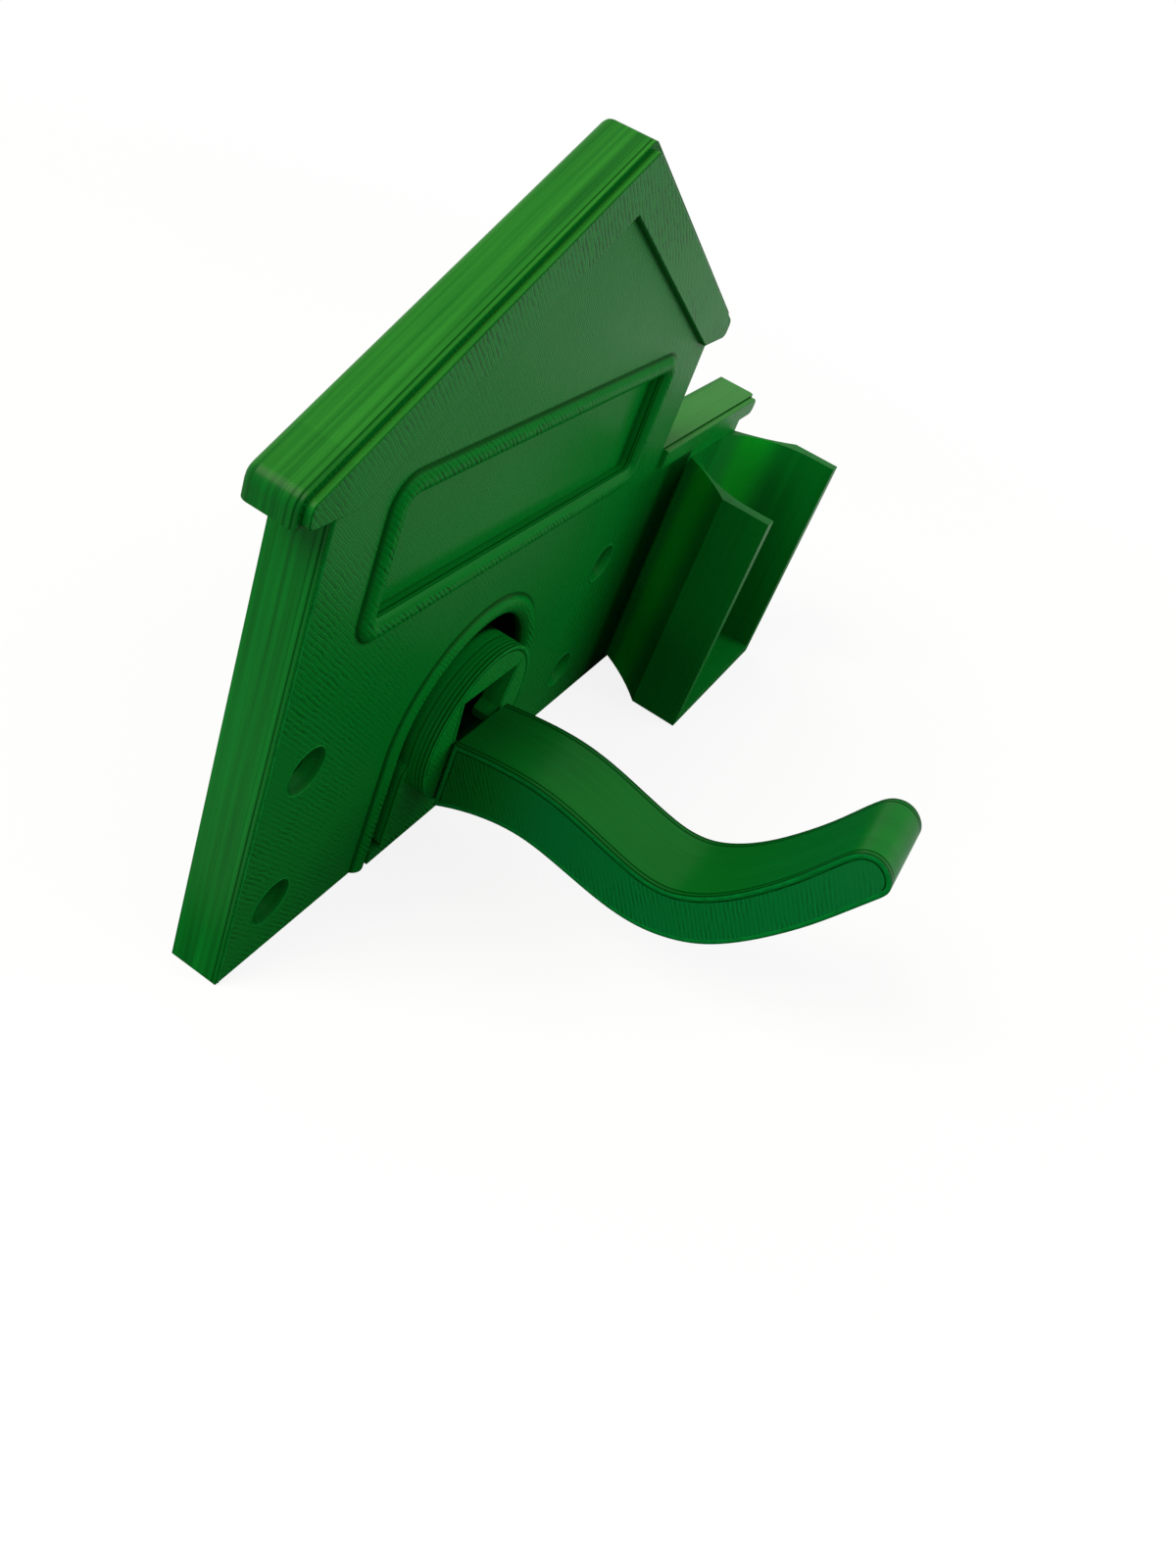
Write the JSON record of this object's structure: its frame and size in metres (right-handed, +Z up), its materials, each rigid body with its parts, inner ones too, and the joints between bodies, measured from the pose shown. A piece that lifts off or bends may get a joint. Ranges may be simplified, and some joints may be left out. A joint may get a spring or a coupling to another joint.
{
  "type": "dog lead holder",
  "caption": "Kennel-shaped wall plate with a keyhole socket and drop-in hook for a dog lead, and an open-fronted trough at its side for a roll of bags.",
  "frame": {"origin": "middle of the screw pattern, on the wall side of the kennel plate", "axes": "+X to the viewer's right along the wall, +Y into the wall, +Z up; the front looks towards -Y"},
  "size_m": [0.2009, 0.0987, 0.1444],
  "materials": {
    "green_print": "satin, with print layer lines"
  },
  "bodies": {
    "root": {"kennel_plate": "green_print", "hook_socket": "green_print", "hook": "green_print"}
  },
  "joints": []
}
